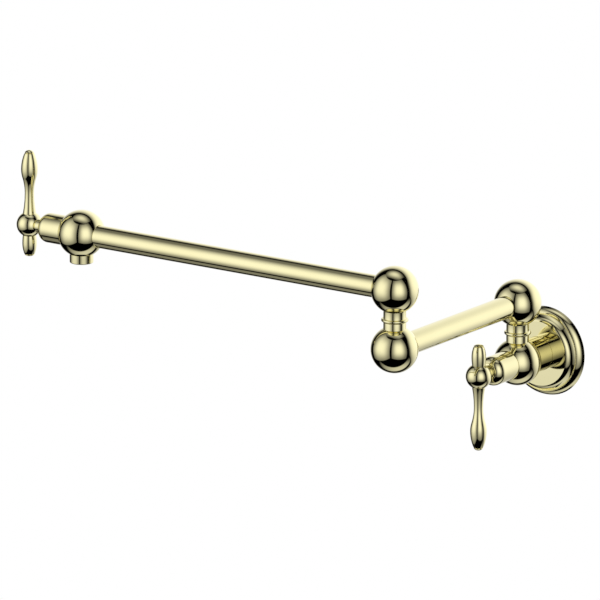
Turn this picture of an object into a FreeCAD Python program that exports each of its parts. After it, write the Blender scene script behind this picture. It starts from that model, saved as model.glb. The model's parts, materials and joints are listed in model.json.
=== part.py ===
"""Wall mounted pot filler: two folding arms on swivel columns, with a lever valve at each end.

Units are millimetres. The origin is the centre of the inlet's mouth, on the wall.
+Y goes into the wall, +X is right as seen from the room and +Z is up.
At rest the inner arm points straight out of the wall (-Y) and the outer arm to the left (-X).
"""
import FreeCAD, Part
import math
import os
import Sketcher
from types import SimpleNamespace

# ---------------------------------------------------------------- driving dimensions
SIZES = {
    # overall layout
    "wall_to_valve": 44.0,       # wall face to the centre of the wall valve's ball
    "column_height": 50.7,       # between the two ball centres of a swivel column
    "inner_reach": 181.5,        # shoulder axis to elbow axis
    "outer_reach": 318.0,        # elbow axis to spout axis
    # balls and arm tubes
    "ball_radius": 20.0,
    "tube_radius": 9.5,
    "tube_wall": 1.5,
    "tube_seat": 12.0,           # ball centre to the floor of a tube socket
    "tube_play": 0.05,
    "waterway": 5.5,             # radius of the drilled waterways
    # swivel columns, heights from the lower ball's centre
    "neck_radius": 9.5,
    "neck_top": 23.4,
    "collar_radius": 11.3,       # ring round the foot of the upper neck
    "collar_height": 2.8,
    "collar_round": 1.3,
    "washer_thick": 0.5,
    "washer_play": 0.1,          # washer inside the necks' outer edge and round the post
    "post_radius": 6.5,
    "post_bore": 4.5,
    "post_seat": 12.0,
    "post_top": 39.7,
    "post_chamfer": 0.6,
    "press_play": 0.02,          # post in its socket
    "turn_play": 0.05,           # upper neck on the post
    "seal_wire": 0.69,           # radius of the post's O-ring section
    "seal_groove": 5.15,         # bottom radius of its grooves
    "seal_half_width": 0.8,
    "seal_low": 27.5,
    "seal_high": 32.5,
    "clip_low": 36.4,            # retaining ring
    "clip_thick": 1.0,
    "clip_radius": 7.9,
    "clip_inner": 5.6,
    "clip_play": 0.1,
    "clip_gap": 2.0,
    "clip_lift": 0.2,            # upper ball's ledge to the retaining ring
    "cavity_radius": 8.5,
    "cavity_play": 1.5,          # room over the post
    # valves, distances outwards from the ball's centre
    "bonnet_radius": 12.5,
    "spigot_radius": 10.5,
    "spigot_end": 24.0,
    "chamber_radius": 8.6,
    "chamber_floor": 6.0,        # behind the centre
    "seal_thick": 1.5,
    "disc_thick": 2.2,
    "disc_radius": 6.9,
    "disc_port": 1.8,
    "port_offset": 4.0,
    "cartridge_radius": 8.5,
    "cartridge_bore": 7.0,
    "cartridge_roof": 8.0,       # inside end of the wide bore
    "cartridge_collar": 10.3,
    "collar_thick": 2.5,
    "window_width": 5.0,
    "window_low": 1.0,
    "window_high": 7.0,
    "stem_radius": 4.0,
    "stem_play": 0.05,
    "stem_foot": 6.5,
    "foot_height": 3.0,
    "foot_width": 3.6,
    "stem_wire": 0.62,
    "stem_groove": 2.75,
    "stem_half_width": 0.75,
    "stem_seal_low": 13.0,
    "stem_seal_high": 18.0,
    "bonnet_play": 0.05,
    "bonnet_cavity": 8.8,
    "bonnet_nose": 4.0,          # thickness of the bonnet's nose
    "bonnet_hole": 4.3,
    "bonnet_dome": 7.9,
    "wall_bonnet_front": 44.3,
    "spout_bonnet_front": 40.0,
    # handles, distances from the hub's centre
    "wall_hub_distance": 57.6,   # valve ball's centre to the hub's centre
    "spout_hub_distance": 53.6,
    "hub_radius": 10.9,
    "hub_neck": 5.6,
    "hub_lift": 0.3,             # hub neck to the bonnet's front
    "hub_depth": 3.0,            # stem's bore past the centre
    "hub_play": 0.02,
    "tenon_radius": 3.0,
    "tenon_start": 4.6,
    "lever_base": 5.6,
    "lever_waist": 3.9,
    "lever_waist_at": 27.0,
    "lever_bulge": 7.0,
    "lever_bulge_at": 47.5,
    "lever_inflection": 0.65,    # share of the way from waist to bulge
    "lever_end": 4.1,
    "lever_end_at": 61.5,
    "lever_tip": 64.2,
    "stub_bulge": 6.1,
    "stub_bulge_at": 16.6,
    "stub_end": 4.4,
    "stub_end_at": 25.5,
    "stub_tip": 27.6,
    "bead_step": 0.3,            # step between a grip's end and its end bead
    "screw_radius": 1.5,
    "screw_foot": 3.5,
    "screw_end": 10.0,
    "screw_hex": 0.9,
    "screw_hex_depth": 2.0,
    # spout
    "spout_ring": 10.0,
    "spout_end": 24.8,
    "spout_round": 0.8,
    "spout_socket": 8.55,
    "spout_seat": 12.0,
    "spout_tenon": 8.5,
    "spout_washer": 1.5,
    "spout_washer_bore": 6.2,
    "aerator_bore": 7.2,
    "aerator_play": 0.1,
    "aerator_lip": 6.4,
    "aerator_lip_thick": 1.0,
    "screen_thick": 0.4,
    "core_top": 14.2,
    "core_roof": 2.2,
    "core_bore": 5.8,
    "core_hole": 0.9,
    "core_hole_offset": 4.2,
    "screen_hole": 0.8,
    "screen_hole_offset": 4.6,
    # wall flange, distances out from the wall
    "shank_radius": 14.5,
    "flange_play": 0.05,
    "flange_radius": 38.3,
    "rim_height": 2.5,
    "rim_round": 6.2,
    "rim_inset": 4.7,            # insets: inwards from the flange's radius
    "rim_crest_at": 6.4,
    "crease_inset": 5.3,
    "crease_at": 5.7,
    "cove_inset": 7.4,
    "cove_at": 9.6,
    "cove_curve": 6.5,
    "face_inset": 10.6,
    "face_at": 13.0,
    "face_round": 3.4,
    "flange_wall": 1.8,
    "step_inset": 9.2,           # inside of the flange at the foot of its dome
    "gasket_width": 5.2,
    "gasket_play": 0.2,
    "gasket_thick": 2.5,
    "flange_collar": 18.3,
    "flange_collar_foot": 5.0,
    "flange_seal_at": 9.0,
    "flange_seal_wire": 0.8,
    "flange_seal_half_width": 1.0,
    # inlet
    "inlet_radius": 9.32,        # minor radius of a half inch female pipe thread
    "inlet_depth": 16.0,
    "screen_recess": 0.8,
    "inlet_screen": 7.4,
    "inlet_screen_play": 0.1,
    "inlet_hole": 1.1,
    "inlet_hole_offset": 3.8,
}
HOLES = {"core_holes": 8, "screen_holes": 10, "inlet_holes": 6, "windows": 4, "ports": 2}

doc = FreeCAD.newDocument("pot_filler")
sheet = doc.addObject("Spreadsheet::Sheet", "Sizes")


class Length:
    """A size as a number, with the formula that binds it to the sheet."""

    def __init__(self, number, formula):
        self.number = number
        self.formula = formula

    def __add__(self, other):
        other = length(other)
        return Length(self.number + other.number, f"({self.formula} + {other.formula})")

    def __sub__(self, other):
        other = length(other)
        return Length(self.number - other.number, f"({self.formula} - {other.formula})")

    def __mul__(self, other):
        other = length(other)
        return Length(self.number * other.number, f"({self.formula} * {other.formula})")

    def __truediv__(self, other):
        other = length(other)
        return Length(self.number / other.number, f"({self.formula} / {other.formula})")

    def __neg__(self):
        return Length(-self.number, f"(-1 * {self.formula})")


def length(value):
    """Any plain number as a Length."""
    if isinstance(value, Length):
        return value
    return Length(value, str(value))


def root(value):
    """The square root of a Length."""
    return Length(math.sqrt(value.number), f"sqrt({value.formula})")


def side_of(hypotenuse, other_side):
    """The other short side of a right-angled triangle, as where a cylinder leaves a ball."""
    return root(hypotenuse * hypotenuse - other_side * other_side)


def arc_radius(along, across):
    """The radius of an arc that starts parallel to the axis and then leaves it by across."""
    return (along * along + across * across) / (across * 2)


def fill_sheet():
    """Writes every driving dimension to the sheet and gives them back as Lengths."""
    lengths = {}
    for row, (name, value) in enumerate({**SIZES, **HOLES}.items(), start=1):
        sheet.set(f"A{row}", name)
        sheet.set(f"B{row}", str(value))
        sheet.setAlias(f"B{row}", name)
        lengths[name] = Length(value, f"Sizes.{name}")
    doc.recompute()
    return SimpleNamespace(**lengths)


size = fill_sheet()

# ---------------------------------------------------------------- places
ROW = FreeCAD.Rotation()
# Out of the spout valve: local Z goes to -X and local X goes up.
TO_LEFT = FreeCAD.Rotation(FreeCAD.Vector(0, 1, 0), -90)
# Out of the wall: local Z goes to -Y and local X goes up.
TO_ROOM = FreeCAD.Rotation(FreeCAD.Vector(0, 0, 1), 90) * TO_LEFT
HALF_TURN = FreeCAD.Rotation(FreeCAD.Vector(0, 0, 1), 180)
QUARTER_TURN = FreeCAD.Rotation(FreeCAD.Vector(0, 0, 1), 90)

elbow_out = size.wall_to_valve + size.inner_reach
upper_level = size.column_height * 2
ZERO = length(0)
WALL = (ZERO, ZERO, ZERO)
WALL_VALVE = (ZERO, -size.wall_to_valve, ZERO)
SHOULDER = (ZERO, -size.wall_to_valve, size.column_height)
ELBOW_LOWER = (ZERO, -elbow_out, size.column_height)
ELBOW_UPPER = (ZERO, -elbow_out, upper_level)
SPOUT = (-size.outer_reach, -elbow_out, upper_level)
WALL_HUB = (ZERO, -(size.wall_to_valve + size.wall_hub_distance), ZERO)
SPOUT_HUB = (-(size.outer_reach + size.spout_hub_distance), -elbow_out, upper_level)

# ---------------------------------------------------------------- modelling helpers
# Each axis: the sketch plane, the axis in the sketch, and whether the axis lies across it.
AXES = {
    "X": ("XZ_Plane", "H_Axis", True),
    "Y": ("YZ_Plane", "H_Axis", True),
    "Z": ("XZ_Plane", "V_Axis", False),
}
nodes = []


def new_part(name, place, turn=ROW):
    """A body at a place, turned; its label names its file."""
    body = doc.addObject("PartDesign::Body", name)
    body.Label = name
    body.Placement = FreeCAD.Placement(FreeCAD.Vector(*(value.number for value in place)), turn)
    for letter, value in zip("xyz", place):
        body.setExpression(f"Placement.Base.{letter}", value.formula)
    nodes.append(body)
    return body


def new_sketch(body, axis):
    """An empty sketch on the body's own plane that holds the axis."""
    role = AXES[axis][0]
    plane = next(item for item in body.Origin.OriginFeatures if item.Role == role)
    sketch = body.newObject("Sketcher::SketchObject", "outline")
    sketch.AttachmentSupport = [(plane, "")]
    sketch.MapMode = "FlatFace"
    return sketch


def pin(sketch, geometry, end, point):
    """Holds a point of the sketch at two Lengths from its origin."""
    axis_lines = (-2, -1)
    for kind, axis_line, value in zip(("DistanceX", "DistanceY"), axis_lines, point):
        if value.number == 0:
            sketch.addConstraint(Sketcher.Constraint("PointOnObject", geometry, end, axis_line))
            continue
        index = sketch.addConstraint(
            Sketcher.Constraint(kind, -1, 1, geometry, end, float(value.number))
        )
        sketch.setExpression(f"Constraints[{index}]", value.formula)


def fix_radius(sketch, geometry, radius):
    """Binds the radius of an arc or circle."""
    index = sketch.addConstraint(Sketcher.Constraint("Radius", geometry, float(radius.number)))
    sketch.setExpression(f"Constraints[{index}]", radius.formula)


def arc_between(start, end, radius, left_turn):
    """The short arc from start to end, as the counter-clockwise arc that a sketch holds."""
    middle = (start + end) / 2
    chord = end - start
    rise = math.sqrt(max(radius**2 - (chord.Length / 2) ** 2, 0))
    side = FreeCAD.Vector(-chord.y, chord.x, 0).normalize()
    centre = middle + side * (rise if left_turn else -rise)
    first, last = (start, end) if left_turn else (end, start)
    angles = [math.atan2(point.y - centre.y, point.x - centre.x) for point in (first, last)]
    if angles[1] < angles[0]:
        angles[1] += 2 * math.pi
    circle = Part.Circle(centre, FreeCAD.Vector(0, 0, 1), radius)
    return Part.ArcOfCircle(circle, *angles)


def outline(body, axis, corners):
    """Draws a closed outline beside an axis.

    A corner is (radius, along), or (radius, along, bend) where an arc leads to it from the
    corner before. A positive bend bulges away from the solid, a negative one is hollow.
    The corners go anti-clockwise with the axis on the left.
    """
    sketch = new_sketch(body, axis)
    lies_across = AXES[axis][2]
    points = []
    for corner in corners:
        across, along = length(corner[0]), length(corner[1])
        points.append((along, across) if lies_across else (across, along))
    spots = [FreeCAD.Vector(right.number, up.number, 0) for right, up in points]
    joins = []
    for index, corner in enumerate(corners):
        start, end = spots[index - 1], spots[index]
        if len(corner) == 2:
            geometry = sketch.addGeometry(Part.LineSegment(start, end), False)
            joins.append((geometry, 1, 2))
            continue
        bend = corner[2]
        left_turn = (bend.number > 0) != lies_across
        arc = arc_between(start, end, abs(bend.number), left_turn)
        geometry = sketch.addGeometry(arc, False)
        joins.append((geometry, 1, 2) if left_turn else (geometry, 2, 1))
        fix_radius(sketch, geometry, bend if bend.number > 0 else -bend)
    for index, (geometry, first, last) in enumerate(joins):
        following, next_first, next_last = joins[(index + 1) % len(joins)]
        sketch.addConstraint(
            Sketcher.Constraint("Coincident", geometry, last, following, next_first)
        )
        pin(sketch, geometry, last, points[index])
    return sketch


def box_outline(inner, outer, low, high):
    """The corners of a plain ring or, from radius 0, of a plain disc."""
    return [(inner, low), (outer, low), (outer, high), (inner, high)]


def revolve(body, kind, sketch, axis):
    """Turns a sketch once round its axis."""
    feature = body.newObject(f"PartDesign::{kind}", kind.lower())
    feature.Profile = sketch
    feature.ReferenceAxis = (sketch, [AXES[axis][1]])
    feature.Angle = 360
    sketch.Visibility = False
    return feature


def turn_solid(body, axis, corners):
    """Adds a turned form."""
    return revolve(body, "Revolution", outline(body, axis, corners), axis)


def turn_away(body, axis, corners):
    """Takes a turned form away."""
    return revolve(body, "Groove", outline(body, axis, corners), axis)


def add_round(body, axis, radius, low, high):
    """Adds a plain cylinder along an axis."""
    return turn_solid(body, axis, box_outline(0, radius, low, high))


def bore(body, axis, radius, low, high):
    """Drills a plain hole along an axis."""
    return turn_away(body, axis, box_outline(0, radius, low, high))


def wire_rings(body, radius, heights, wire):
    """Turned rings of round section, such as O-rings, about the body's Z axis."""
    sketch = new_sketch(body, "Z")
    for height in heights:
        centre = FreeCAD.Vector(radius.number, height.number, 0)
        circle = Part.Circle(centre, FreeCAD.Vector(0, 0, 1), wire.number)
        geometry = sketch.addGeometry(circle, False)
        pin(sketch, geometry, 3, (radius, height))
        fix_radius(sketch, geometry, wire)
    return revolve(body, "Revolution", sketch, "Z")


def bind(item, **values):
    """Sets properties and binds them to the sheet."""
    for name, value in values.items():
        value = length(value)
        path = name.replace("__", ".")
        if "." not in path:
            setattr(item, path, value.number)
        item.setExpression(path, value.formula)


def cut_block(body, x, y, z):
    """Cuts a block; each of x, y and z is a pair (low, high)."""
    block = body.newObject("PartDesign::SubtractiveBox", "block")
    spans = [(length(low), length(high)) for low, high in (x, y, z)]
    corner = FreeCAD.Vector(*(low.number for low, high in spans))
    block.Placement = FreeCAD.Placement(corner, ROW)
    bind(
        block,
        Length=spans[0][1] - spans[0][0],
        Width=spans[1][1] - spans[1][0],
        Height=spans[2][1] - spans[2][0],
        Placement__Base__x=spans[0][0],
        Placement__Base__y=spans[1][0],
        Placement__Base__z=spans[2][0],
    )
    return block


def drill_offset(body, radius, offset, low, high):
    """Drills a hole along Z, offset along X from the axis."""
    hole = body.newObject("PartDesign::SubtractiveCylinder", "hole")
    hole.Placement = FreeCAD.Placement(FreeCAD.Vector(offset.number, 0, low.number), ROW)
    bind(
        hole,
        Radius=radius,
        Height=high - low,
        Placement__Base__x=offset,
        Placement__Base__z=low,
    )
    return hole


def repeat_round(body, feature, count):
    """Repeats a feature evenly round the body's Z axis."""
    pattern = body.newObject("PartDesign::PolarPattern", "pattern")
    pattern.Originals = [feature]
    z_axis = next(item for item in body.Origin.OriginFeatures if item.Role == "Z_Axis")
    pattern.Axis = (z_axis, [""])
    pattern.Angle = 360
    bind(pattern, Occurrences=count)
    body.Tip = pattern
    return pattern


# ---------------------------------------------------------------- balls and swivel columns
ball = size.ball_radius
neck_leaves_ball = side_of(ball, size.neck_radius)
washer_top = size.neck_top + size.washer_thick
upper_foot = washer_top - size.column_height
clip_ledge = size.clip_low - size.clip_lift
cavity_top = size.post_top + size.cavity_play


def lower_ball(body, axis):
    """A ball whose neck points along the axis and takes a swivel post."""
    corners = [
        (0, -ball),
        (size.neck_radius, neck_leaves_ball, ball),
        (size.neck_radius, size.neck_top),
        (0, size.neck_top),
    ]
    turn_solid(body, axis, corners)


def post_socket(body, axis):
    """The socket for the post, and the waterway from it to the ball's centre."""
    socket = size.post_radius + size.press_play
    bore(body, axis, socket, size.post_seat, size.neck_top)
    bore(body, axis, size.post_bore, 0, size.post_seat)


def upper_ball(body):
    """A ball whose collared neck points down and turns on a post."""
    collar = size.collar_radius
    rounding = size.collar_round
    collar_top = upper_foot + size.collar_height
    corners = [
        (0, upper_foot),
        (collar - rounding, upper_foot),
        (collar, upper_foot + rounding, rounding),
        (collar, collar_top - rounding),
        (collar - rounding, collar_top, rounding),
        (size.neck_radius, collar_top),
        (size.neck_radius, -neck_leaves_ball),
        (0, ball, ball),
    ]
    turn_solid(body, "Z", corners)
    ledge = clip_ledge - size.column_height
    bore(body, "Z", size.post_radius + size.turn_play, upper_foot, ledge)
    bore(body, "Z", size.cavity_radius, ledge, cavity_top - size.column_height)
    bore(body, "Z", size.waterway, cavity_top - size.column_height, 0)


def tube_socket(body, axis, side):
    """A socket for an arm tube on one side of the axis, with its waterway."""
    socket = size.tube_radius + size.tube_play
    seat, rim = size.tube_seat, ball
    if side > 0:
        bore(body, axis, socket, seat, rim)
        bore(body, axis, size.waterway, 0, seat)
    else:
        bore(body, axis, socket, -rim, -seat)
        bore(body, axis, size.waterway, -seat, 0)


def swivel_fittings(prefix, place):
    """Post, O-rings, washer and retaining ring of one swivel column."""
    post = new_part(f"{prefix}_swivel_post", place)
    radius, top = size.post_radius, size.post_top
    corners = [
        (size.post_bore, size.post_seat),
        (radius, size.post_seat),
        (radius, top - size.post_chamfer),
        (radius - size.post_chamfer, top),
        (size.post_bore, top),
    ]
    turn_solid(post, "Z", corners)
    for height in (size.seal_low, size.seal_high):
        low, high = height - size.seal_half_width, height + size.seal_half_width
        turn_away(post, "Z", box_outline(size.seal_groove, radius + size.press_play, low, high))
    clip_floor = size.clip_inner - size.clip_play
    clip_low = size.clip_low - size.clip_play
    clip_high = size.clip_low + size.clip_thick + size.clip_play
    clip_slot = box_outline(clip_floor, radius + size.press_play, clip_low, clip_high)
    turn_away(post, "Z", clip_slot)

    rings = new_part(f"{prefix}_swivel_o_rings", place)
    ring_radius = radius + size.turn_play - size.seal_wire - size.seal_wire / 50
    wire_rings(rings, ring_radius, (size.seal_low, size.seal_high), size.seal_wire)

    washer = new_part(f"{prefix}_swivel_washer", place)
    washer_inner = radius + size.washer_play
    washer_outer = size.neck_radius - size.washer_play
    turn_solid(washer, "Z", box_outline(washer_inner, washer_outer, size.neck_top, washer_top))

    clip = new_part(f"{prefix}_swivel_snap_ring", place)
    clip_top = size.clip_low + size.clip_thick
    turn_solid(clip, "Z", box_outline(size.clip_inner, size.clip_radius, size.clip_low, clip_top))
    half_gap = size.clip_gap / 2
    cut_block(clip, (0, size.clip_radius * 2), (-half_gap, half_gap), (size.clip_low, clip_top))


# ---------------------------------------------------------------- valves
# The frame of a valve: origin at its ball's centre, Z out along the stem, X up.
bonnet_seat = side_of(ball, size.bonnet_radius)
seal_low = -size.chamber_floor
fixed_low = seal_low + size.seal_thick
moving_low = fixed_low + size.disc_thick
moving_top = moving_low + size.disc_thick
collar_top = size.spigot_end + size.collar_thick


def valve_seat(body):
    """Spot face, spigot and chamber on the valve side of a ball."""
    turn_away(body, "Z", box_outline(size.spigot_radius, ball, bonnet_seat, ball))
    add_round(body, "Z", size.spigot_radius, size.chamber_floor, size.spigot_end)
    bore(body, "Z", size.chamber_radius, seal_low, size.spigot_end)


def cartridge(prefix, place, turn):
    """Housing, fixed ceramic disc and rubber seat of one valve."""
    housing = new_part(f"{prefix}_cartridge", place, turn)
    outer, collar = size.cartridge_radius, size.cartridge_collar
    stem_hole = size.stem_radius + size.stem_play
    corners = [
        (size.cartridge_bore, fixed_low),
        (outer, fixed_low),
        (outer, size.spigot_end),
        (collar, size.spigot_end),
        (collar, collar_top),
        (stem_hole, collar_top),
        (stem_hole, size.cartridge_roof),
        (size.cartridge_bore, size.cartridge_roof),
    ]
    turn_solid(housing, "Z", corners)
    half_width = size.window_width / 2
    window = cut_block(
        housing, (0, collar), (-half_width, half_width), (size.window_low, size.window_high)
    )
    repeat_round(housing, window, size.windows)

    disc = new_part(f"{prefix}_fixed_disc", place, turn)
    add_round(disc, "Z", size.disc_radius, fixed_low, moving_low)
    port = drill_offset(disc, size.disc_port, size.port_offset, fixed_low, moving_low)
    repeat_round(disc, port, size.ports)

    seal = new_part(f"{prefix}_seat_seal", place, turn)
    add_round(seal, "Z", size.disc_radius, seal_low, fixed_low)
    port = drill_offset(seal, size.disc_port, size.port_offset, seal_low, fixed_low)
    repeat_round(seal, port, size.ports)


def bonnet(prefix, place, turn, front):
    """The domed nut that covers a valve's spigot and holds its cartridge."""
    body = new_part(f"{prefix}_bonnet", place, turn)
    radius, dome, hole = size.bonnet_radius, size.bonnet_dome, size.bonnet_hole
    mouth = size.spigot_radius + size.bonnet_play
    nose_back = front - size.bonnet_nose
    corners = [
        (mouth, bonnet_seat),
        (radius, bonnet_seat),
        (radius, front - dome),
        (radius - dome, front, dome),
        (hole, front),
        (hole, nose_back),
        (size.bonnet_cavity, nose_back),
        (size.bonnet_cavity, collar_top),
        (mouth, collar_top),
    ]
    turn_solid(body, "Z", corners)


def stem_set(prefix, place, turn, hub_distance, screw_side):
    """Stem, its O-rings and the moving ceramic disc, which turn with the handle."""
    stem = new_part(f"{prefix}_stem", place, turn)
    radius, end = size.stem_radius, hub_distance + size.hub_depth
    corners = [
        (0, moving_top),
        (size.stem_foot, moving_top),
        (size.stem_foot, size.foot_height),
        (radius, size.foot_height),
        (radius, end),
        (0, end),
    ]
    turn_solid(stem, "Z", corners)
    half_width = size.foot_width / 2
    foot = size.stem_foot
    cut_block(stem, (-foot, foot), (half_width, foot), (moving_top, size.foot_height))
    cut_block(stem, (-foot, foot), (-foot, -half_width), (moving_top, size.foot_height))
    for height in (size.stem_seal_low, size.stem_seal_high):
        low, high = height - size.stem_half_width, height + size.stem_half_width
        turn_away(stem, "Z", box_outline(size.stem_groove, radius + size.stem_play, low, high))
    flat_start = hub_distance - size.hub_depth
    flat = (size.screw_foot, radius * 2) if screw_side > 0 else (-radius * 2, -size.screw_foot)
    cut_block(stem, (-radius, radius), flat, (flat_start, end))

    rings = new_part(f"{prefix}_stem_o_rings", place, turn)
    ring_radius = radius + size.stem_play - size.stem_wire - size.stem_wire / 50
    wire_rings(rings, ring_radius, (size.stem_seal_low, size.stem_seal_high), size.stem_wire)

    disc = new_part(f"{prefix}_moving_disc", place, turn * QUARTER_TURN)
    add_round(disc, "Z", size.disc_radius, moving_low, moving_top)
    port = drill_offset(disc, size.disc_port, size.port_offset, moving_low, moving_top)
    repeat_round(disc, port, size.ports)


# ---------------------------------------------------------------- handles
# The frame of a handle: origin at the hub's centre, Z out along the stem, X along the lever.
grip_seat = side_of(size.hub_radius, size.lever_base)


def hub(prefix, place, turn, neck_foot, screw_side):
    """The ball that carries the lever and the stub, with its neck and its screw hole."""
    body = new_part(f"{prefix}_handle_hub", place, turn)
    radius, neck = size.hub_radius, size.hub_neck
    corners = [
        (0, neck_foot),
        (neck, neck_foot),
        (neck, -side_of(radius, neck)),
        (0, radius, radius),
    ]
    turn_solid(body, "Z", corners)
    bore(body, "Z", size.stem_radius + size.hub_play, neck_foot, size.hub_depth)
    tenon_hole = size.tenon_radius + size.hub_play
    bore(body, "X", radius, grip_seat, radius)
    bore(body, "X", tenon_hole, size.tenon_start, grip_seat)
    bore(body, "X", radius, -radius, -grip_seat)
    bore(body, "X", tenon_hole, -grip_seat, -size.tenon_start)
    screw_hole = size.screw_radius + size.hub_play
    if screw_side > 0:
        bore(body, "Y", screw_hole, size.screw_foot, radius)
    else:
        bore(body, "Y", screw_hole, -radius, -size.screw_foot)


def grip_tip(end_radius, end_at, tip):
    """The stepped, domed end bead of a lever or a stub."""
    bead = end_radius - size.bead_step
    height = tip - end_at
    return [(bead, end_at), (0, tip, arc_radius(bead, height))]


def lever(prefix, place, turn):
    """The long grip: slim at its waist and swollen near its end."""
    body = new_part(f"{prefix}_lever", place, turn)
    waist, waist_at = size.lever_waist, size.lever_waist_at
    bulge, bulge_at = size.lever_bulge, size.lever_bulge_at
    end, end_at = size.lever_end, size.lever_end_at
    swell, run = bulge - waist, bulge_at - waist_at
    share = size.lever_inflection
    rest = length(1) - share
    corners = [
        (0, size.tenon_start),
        (size.tenon_radius, size.tenon_start),
        (size.tenon_radius, grip_seat),
        (size.lever_base, grip_seat),
        (waist, waist_at, -arc_radius(waist_at - grip_seat, size.lever_base - waist)),
        (waist + swell * share, waist_at + run * share, -arc_radius(run * share, swell * share)),
        (bulge, bulge_at, arc_radius(run * rest, swell * rest)),
        (end, end_at, arc_radius(end_at - bulge_at, bulge - end)),
    ]
    turn_solid(body, "X", corners + grip_tip(end, end_at, size.lever_tip))


def stub(prefix, place, turn):
    """The short grip opposite the lever."""
    body = new_part(f"{prefix}_stub", place, turn * HALF_TURN)
    bulge, bulge_at = size.stub_bulge, size.stub_bulge_at
    end, end_at = size.stub_end, size.stub_end_at
    corners = [
        (0, size.tenon_start),
        (size.tenon_radius, size.tenon_start),
        (size.tenon_radius, grip_seat),
        (size.lever_base, grip_seat),
        (bulge, bulge_at, arc_radius(bulge_at - grip_seat, bulge - size.lever_base)),
        (end, end_at, arc_radius(end_at - bulge_at, bulge - end)),
    ]
    turn_solid(body, "X", corners + grip_tip(end, end_at, size.stub_tip))


def set_screw(prefix, place, turn, screw_side):
    """The socket screw that holds the hub on the stem's flat."""
    tilt = FreeCAD.Rotation(FreeCAD.Vector(1, 0, 0), -90 * screw_side)
    body = new_part(f"{prefix}_set_screw", place, turn * tilt)
    add_round(body, "Z", size.screw_radius, size.screw_foot, size.screw_end)
    socket = body.newObject("PartDesign::SubtractivePrism", "socket")
    socket.Polygon = 6
    socket_floor = size.screw_end - size.screw_hex_depth
    socket.Placement = FreeCAD.Placement(FreeCAD.Vector(0, 0, socket_floor.number), ROW)
    bind(
        socket,
        Circumradius=size.screw_hex,
        Height=size.screw_hex_depth,
        Placement__Base__z=socket_floor,
    )


def handle(prefix, valve, hub_place, turn, lever_turn, hub_distance, front, screw_side):
    """One whole handle with its stem."""
    neck_foot = front + size.hub_lift - hub_distance
    hub(prefix, hub_place, turn * lever_turn, neck_foot, screw_side)
    lever(prefix, hub_place, turn * lever_turn)
    stub(prefix, hub_place, turn * lever_turn)
    set_screw(prefix, hub_place, turn * lever_turn, screw_side)
    stem_set(prefix, valve, turn * lever_turn, hub_distance, screw_side)


# ---------------------------------------------------------------- wall flange
def wall_flange():
    """The stepped rose against the wall, open at the back, with a collar round the shank."""
    body = new_part("wall_flange", WALL, TO_ROOM)
    hole = size.shank_radius + size.flange_play
    rim = size.flange_radius
    inside_rim = rim - size.flange_wall
    gasket_bore, gasket_seat = inside_rim - size.gasket_width, size.gasket_thick
    face = rim - size.face_inset
    inside_face = size.face_at - size.flange_wall
    collar, foot = size.flange_collar, size.flange_collar_foot
    corners = [
        (hole, foot),
        (collar, foot),
        (collar, inside_face),
        (face - size.flange_wall / 2, inside_face),
        (rim - size.step_inset, size.cove_at - size.flange_wall),
        (gasket_bore, gasket_seat),
        (inside_rim, gasket_seat),
        (inside_rim, 0),
        (rim, 0),
        (rim, size.rim_height),
        (rim - size.rim_inset, size.rim_crest_at, size.rim_round),
        (rim - size.crease_inset, size.crease_at),
        (rim - size.cove_inset, size.cove_at, -size.cove_curve),
        (face, size.face_at, size.face_round),
        (hole, size.face_at),
    ]
    turn_solid(body, "Z", corners)
    groove_floor = size.shank_radius + size.flange_play * 2 + size.flange_seal_wire * 2
    low = size.flange_seal_at - size.flange_seal_half_width
    high = size.flange_seal_at + size.flange_seal_half_width
    turn_away(body, "Z", box_outline(size.shank_radius, groove_floor, low, high))

    ring = new_part("flange_o_ring", WALL, TO_ROOM)
    ring_radius = hole + size.flange_seal_wire
    wire_rings(ring, ring_radius, (size.flange_seal_at,), size.flange_seal_wire)

    gasket = new_part("flange_gasket", WALL, TO_ROOM)
    gasket_outer = inside_rim - size.gasket_play
    turn_solid(gasket, "Z", box_outline(gasket_bore, gasket_outer, 0, gasket_seat))


# ---------------------------------------------------------------- wall base
inlet_floor = size.inlet_depth - size.wall_to_valve
recess_floor = inlet_floor + size.screen_recess


def wall_base():
    """The wall valve's body: ball, shank with the inlet thread, swivel neck and valve seat."""
    body = new_part("valve_body", WALL_VALVE, TO_ROOM)
    lower_ball(body, "X")
    add_round(body, "Z", size.shank_radius, -size.wall_to_valve, 0)
    valve_seat(body)
    post_socket(body, "X")
    bore(body, "Z", size.inlet_radius, -size.wall_to_valve, inlet_floor)
    screen_hole = size.inlet_screen + size.inlet_screen_play
    bore(body, "Z", screen_hole, inlet_floor, recess_floor)
    bore(body, "Z", size.waterway, recess_floor, seal_low)

    screen = new_part("inlet_screen", WALL_VALVE, TO_ROOM)
    add_round(screen, "Z", size.inlet_screen, inlet_floor, recess_floor)
    bore(screen, "Z", size.inlet_hole, inlet_floor, recess_floor)
    hole = drill_offset(screen, size.inlet_hole, size.inlet_hole_offset, inlet_floor, recess_floor)
    repeat_round(screen, hole, size.inlet_holes)

    swivel_fittings("wall", WALL_VALVE)
    cartridge("wall", WALL_VALVE, TO_ROOM)
    bonnet("wall", WALL_VALVE, TO_ROOM, size.wall_bonnet_front)


# ---------------------------------------------------------------- arms
def arm_tube(name, place, turn, reach):
    """A straight tube that stands on the floors of its two sockets, along its Z axis."""
    body = new_part(name, place, turn)
    inner = size.tube_radius - size.tube_wall
    corners = box_outline(inner, size.tube_radius, size.tube_seat, reach - size.tube_seat)
    turn_solid(body, "Z", corners)


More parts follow.
